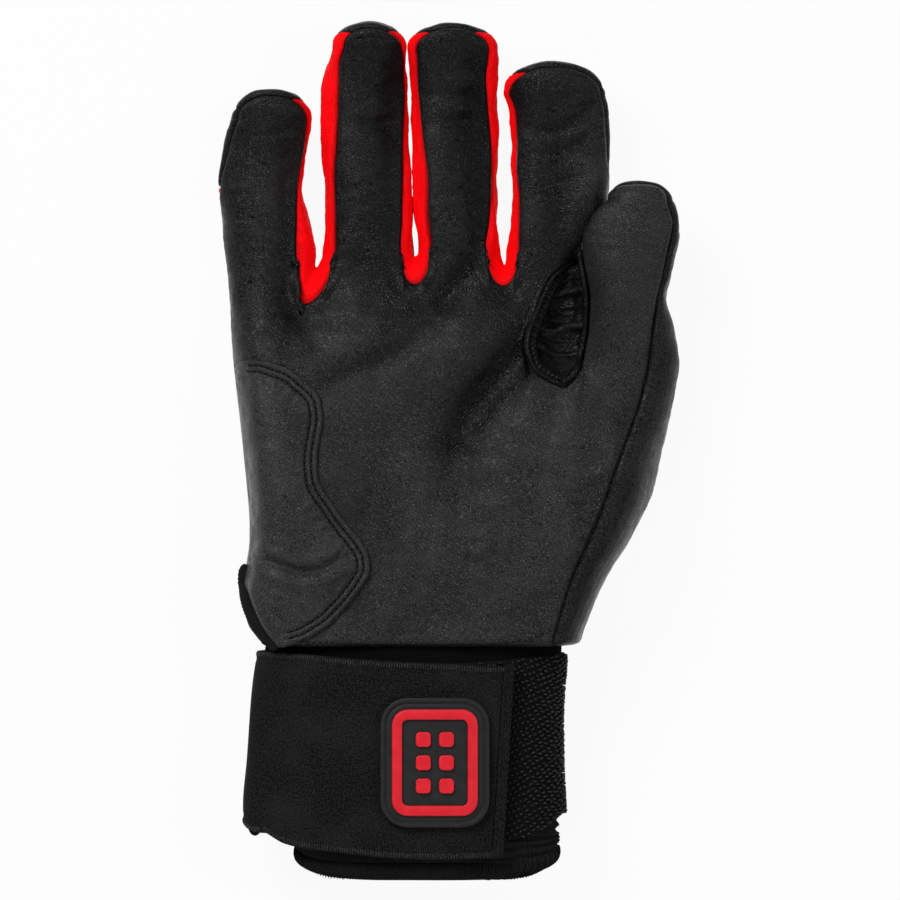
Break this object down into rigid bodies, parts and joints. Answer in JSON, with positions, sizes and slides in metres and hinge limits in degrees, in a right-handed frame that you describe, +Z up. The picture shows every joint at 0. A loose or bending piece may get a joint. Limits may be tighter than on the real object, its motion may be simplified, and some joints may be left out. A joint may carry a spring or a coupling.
{
  "type": "batting glove",
  "caption": "Right-hand batting glove in black leather with red mesh finger sides, a shirred thumb gusset, a knit cuff and a wide wrist strap that opens and carries a rubber badge.",
  "frame": {"origin": "middle of the glove's bounding box, on the surface that its back lies on", "axes": "+Z up out of the palm, +Y from the cuff to the fingertips, +X to the thumb side"},
  "size_m": [0.1362, 0.2526, 0.0415],
  "materials": {
    "black_leather": "fine-grained black leather with a soft sheen",
    "red_mesh": "red knitted mesh",
    "ribbed_knit": "black ribbed knit",
    "loop_pile": "black loop pile",
    "strap_elastic": "black woven elastic",
    "hook_tape": "black moulded hooks on tape",
    "badge_black": "matt black moulded rubber",
    "badge_red": "satin red moulded rubber"
  },
  "bodies": {
    "glove": {"palm_leather": "black_leather", "back_hand_panel": "black_leather", "thumb_back_panel": "black_leather", "thumb_gusset": "black_leather", "palm_heel_patch": "black_leather", "vent_binding": "ribbed_knit", "fourchette_pinky_ring": "red_mesh", "fourchette_ring_middle": "red_mesh", "fourchette_middle_index": "red_mesh", "finger_flex_pinky": "red_mesh", "finger_flex_ring": "red_mesh", "finger_flex_middle": "red_mesh", "finger_flex_index": "red_mesh", "finger_back_tip_pinky": "black_leather", "finger_back_tip_ring": "black_leather", "finger_back_tip_middle": "black_leather", "finger_back_tip_index": "black_leather", "cuff_sleeve": "ribbed_knit", "cuff_hem": "ribbed_knit", "loop_panel": "loop_pile", "strap_back": "strap_elastic", "strap_corner_tab": "strap_elastic"},
    "strap_flap": {"strap_front": "strap_elastic"},
    "strap_end": {"strap_tip": "strap_elastic", "strap_end_hem": "strap_elastic", "strap_hook_pad": "hook_tape", "badge_plate": "badge_black", "badge_frame": "badge_red", "badge_stud_1": "badge_red", "badge_stud_2": "badge_red", "badge_stud_3": "badge_red", "badge_stud_4": "badge_red", "badge_stud_5": "badge_red", "badge_stud_6": "badge_red"}
  },
  "joints": [
    {"name": "strap_open", "type": "hinge", "parent": "glove", "child": "strap_flap", "pos_m": [-0.05331, -0.05902, 0.02796], "axis": [-0.0748, -0.9972, 0], "range_deg": [0, 150]},
    {"name": "strap_tip_peel", "type": "hinge", "parent": "strap_flap", "child": "strap_end", "pos_m": [-0.02366, -0.06167, 0.03814], "axis": [-0.0659, -0.9978, -0.007], "range_deg": [0, 75]}
  ]
}
